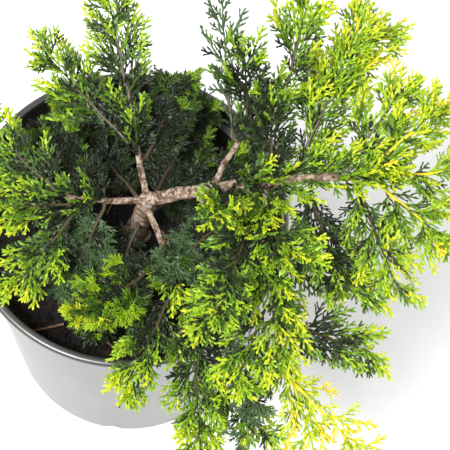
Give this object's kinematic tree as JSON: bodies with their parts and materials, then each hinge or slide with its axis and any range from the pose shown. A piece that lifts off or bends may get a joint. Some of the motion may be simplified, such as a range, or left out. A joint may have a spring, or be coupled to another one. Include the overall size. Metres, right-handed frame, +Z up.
{
  "type": "potted golden pfitzer juniper",
  "caption": "Spreading conifer shrub with gold-tipped feathery sprays on low boughs, in a round tapered nursery pot with a rolled lip.",
  "frame": {"origin": "centre of the pot's flat underside", "axes": "+Z up along the pot's axis; +X is the side that the main bough leans to; -Y is the front, from which the picture looks down"},
  "size_m": [0.2598, 0.2355, 0.2806],
  "materials": {
    "pot_plastic": "satin",
    "potting_mix": "matte",
    "bark": "matte",
    "foliage_gold": "matte",
    "foliage_lime": "matte",
    "foliage_green": "matte",
    "foliage_blue": "matte"
  },
  "bodies": {
    "root": {"pot": "pot_plastic", "potting_mix": "potting_mix", "trunk": "bark", "bough_right": "bark", "bough_left": "bark", "bough_rear": "bark", "bough_front": "bark", "bough_rear_right": "bark", "bough_inner": "bark", "bough_lower": "bark", "bough_centre": "bark", "mass_left_upper": "foliage_lime", "mass_left": "foliage_gold", "mass_left_front": "foliage_lime", "mass_left_low": "foliage_blue", "mass_left_rear": "foliage_green", "mass_rear_left": "foliage_lime", "mass_rear": "foliage_lime", "mass_rear_side": "foliage_green", "mass_inner_left": "foliage_green", "mass_inner_rear": "foliage_green", "mass_inner_right": "foliage_green", "mass_inner_front_left": "foliage_green", "mass_upright": "foliage_blue", "mass_upright_left": "foliage_green", "mass_top_rear": "foliage_lime", "mass_top_right": "foliage_lime", "mass_right_rear": "foliage_lime", "mass_right_rear_end": "foliage_lime", "mass_right_end_top": "foliage_gold", "mass_right_end": "foliage_gold", "mass_right_end_low": "foliage_gold", "mass_right_hang": "foliage_lime", "mass_right_hang_inner": "foliage_green", "mass_top_front": "foliage_gold", "mass_top_centre": "foliage_green", "mass_centre": "foliage_gold", "mass_centre_left": "foliage_blue", "mass_centre_low": "foliage_blue", "mass_lower_top": "foliage_lime", "mass_lower_left": "foliage_lime", "mass_lower_right": "foliage_green", "mass_lower_middle": "foliage_lime", "mass_lower_side": "foliage_green", "mass_lower_end": "foliage_gold", "mass_lower_end_middle": "foliage_lime", "mass_lower_end_left": "foliage_blue", "mass_front_left": "foliage_lime", "mass_front_left_low": "foliage_lime", "mass_front": "foliage_lime", "mass_front_right": "foliage_green"}
  },
  "joints": []
}
